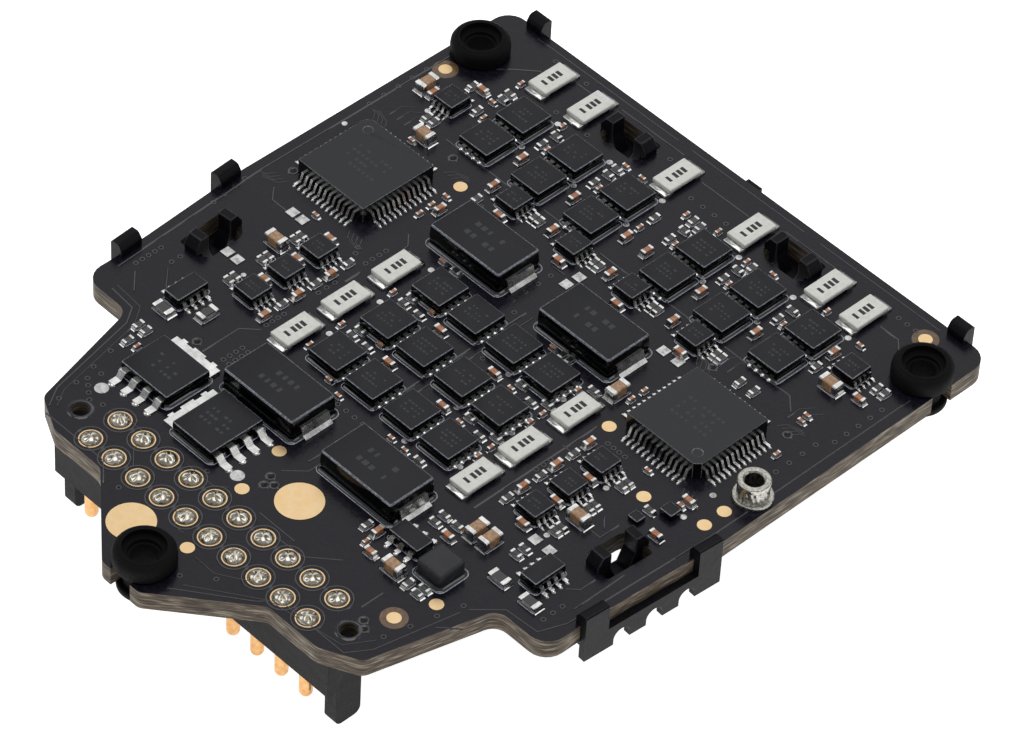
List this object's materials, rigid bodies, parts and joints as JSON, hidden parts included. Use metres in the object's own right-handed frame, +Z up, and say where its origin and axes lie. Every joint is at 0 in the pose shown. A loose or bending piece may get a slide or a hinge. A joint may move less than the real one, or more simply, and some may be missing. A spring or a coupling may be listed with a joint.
{
  "type": "four-motor speed controller board",
  "caption": "Flat circuit board with drive transistors, capacitors, controllers, pin header under the nose, rubber grommets and press-in wire combs.",
  "frame": {"origin": "middle of the overall width and length, at the level of the header's guide fin tips, the lowest point", "axes": "+X across the board, +Y from the nose to the far edge, +Z up out of the populated face"},
  "size_m": [0.051, 0.061, 0.0105],
  "materials": {
    "cap_plastic": "black moulded capacitor case",
    "ceramic_brown": "brown ceramic with tinned ends",
    "ceramic_tan": "tan ceramic with tinned ends",
    "chip_plastic": "black moulded package under clear coating",
    "comb_plastic": "semi-matte black plastic",
    "gold_plate": "thin gold plating",
    "grommet_rubber": "matte speckled black rubber",
    "housing_plastic": "finely textured black plastic",
    "inductor_ferrite": "dark grey ferrite",
    "insert_steel": "knurled plated steel",
    "pin_gold": "gold-plated brass",
    "resistor_body": "black chip resistor with tinned ends",
    "sense_ceramic": "warm white ceramic",
    "solder": "bright solder",
    "solder_mask": "satin black solder mask over glass-fibre board",
    "tin": "bright tinned metal"
  },
  "bodies": {
    "board": {"circuit_board": "solder_mask", "gold_pads": "gold_plate", "tin_pads": "tin", "motor_wire_pads": "tin", "pin_header_block": "housing_plastic", "header_pins": "pin_gold", "pin_solder": "solder", "grommet_far_left": "grommet_rubber", "grommet_far_right": "grommet_rubber", "grommet_nose": "grommet_rubber", "threaded_insert": "insert_steel", "far_wire_comb": "comb_plastic", "left_wire_comb": "comb_plastic", "right_wire_comb": "comb_plastic", "controller_left": "chip_plastic", "controller_left_leads": "tin", "controller_right": "chip_plastic", "controller_right_leads": "tin", "motor_1_transistors": "chip_plastic", "motor_2_transistors": "chip_plastic", "motor_3_transistors": "chip_plastic", "motor_4_transistors": "chip_plastic", "transistor_terminals": "tin", "gate_drivers": "chip_plastic", "gate_driver_leads": "tin", "sense_resistors": "sense_ceramic", "sense_terminals": "tin", "bulk_capacitors": "cap_plastic", "bulk_terminals": "tin", "power_switch_a": "chip_plastic", "power_switch_b": "chip_plastic", "power_switch_leads": "tin", "current_amplifiers": "chip_plastic", "current_amplifier_leads": "tin", "buck_regulator": "chip_plastic", "buck_regulator_leads": "tin", "buck_inductor": "inductor_ferrite", "filter_resistors": "resistor_body", "large_ceramic_capacitors": "ceramic_tan", "small_ceramic_capacitors": "ceramic_brown", "tiny_ceramic_capacitors": "ceramic_brown", "chip_resistors": "resistor_body", "small_chips": "chip_plastic"},
    "far_left_latch_outer": {"far_left_prong_outer": "comb_plastic"},
    "far_left_latch_inner": {"far_left_prong_inner": "comb_plastic"},
    "far_right_latch_outer": {"far_right_prong_outer": "comb_plastic"},
    "far_right_latch_inner": {"far_right_prong_inner": "comb_plastic"},
    "left_latch_near": {"left_prong_near": "comb_plastic"},
    "left_latch_far": {"left_prong_far": "comb_plastic"},
    "right_latch_near": {"right_prong_near": "comb_plastic"},
    "right_latch_far": {"right_prong_far": "comb_plastic"}
  },
  "joints": [
    {"name": "far_left_latch_outer_flex", "type": "hinge", "parent": "board", "child": "far_left_latch_outer", "pos_m": [-0.00895, 0.02643, 0.007], "axis": [0, 1, 0], "range_deg": [0, 10], "stiffness_Nm_per_rad": 0.1},
    {"name": "far_left_latch_inner_flex", "type": "hinge", "parent": "board", "child": "far_left_latch_inner", "pos_m": [-0.00805, 0.02643, 0.007], "axis": [0, -1, 0], "range_deg": [0, 10]},
    {"name": "far_right_latch_outer_flex", "type": "hinge", "parent": "board", "child": "far_right_latch_outer", "pos_m": [0.00895, 0.02643, 0.007], "axis": [0, -1, 0], "range_deg": [0, 10], "stiffness_Nm_per_rad": 0.1},
    {"name": "far_right_latch_inner_flex", "type": "hinge", "parent": "board", "child": "far_right_latch_inner", "pos_m": [0.00805, 0.02643, 0.007], "axis": [0, 1, 0], "range_deg": [0, 10]},
    {"name": "left_latch_near_flex", "type": "hinge", "parent": "board", "child": "left_latch_near", "pos_m": [-0.02087, -0.00398, 0.007], "axis": [-0.9976, -0.0691, 0], "range_deg": [0, 10], "stiffness_Nm_per_rad": 0.1},
    {"name": "left_latch_far_flex", "type": "hinge", "parent": "board", "child": "left_latch_far", "pos_m": [-0.02093, -0.00308, 0.007], "axis": [0.9976, 0.0691, 0], "range_deg": [0, 10]},
    {"name": "right_latch_near_flex", "type": "hinge", "parent": "board", "child": "right_latch_near", "pos_m": [0.02087, -0.00398, 0.007], "axis": [-0.9976, 0.0691, 0], "range_deg": [0, 10], "stiffness_Nm_per_rad": 0.1},
    {"name": "right_latch_far_flex", "type": "hinge", "parent": "board", "child": "right_latch_far", "pos_m": [0.02093, -0.00308, 0.007], "axis": [0.9976, -0.0691, 0], "range_deg": [0, 10]}
  ],
  "couplings": [
    {"joint": "far_left_latch_inner_flex", "follows": "far_left_latch_outer_flex", "ratio": 1},
    {"joint": "far_right_latch_inner_flex", "follows": "far_right_latch_outer_flex", "ratio": 1},
    {"joint": "left_latch_far_flex", "follows": "left_latch_near_flex", "ratio": 1},
    {"joint": "right_latch_far_flex", "follows": "right_latch_near_flex", "ratio": 1}
  ]
}
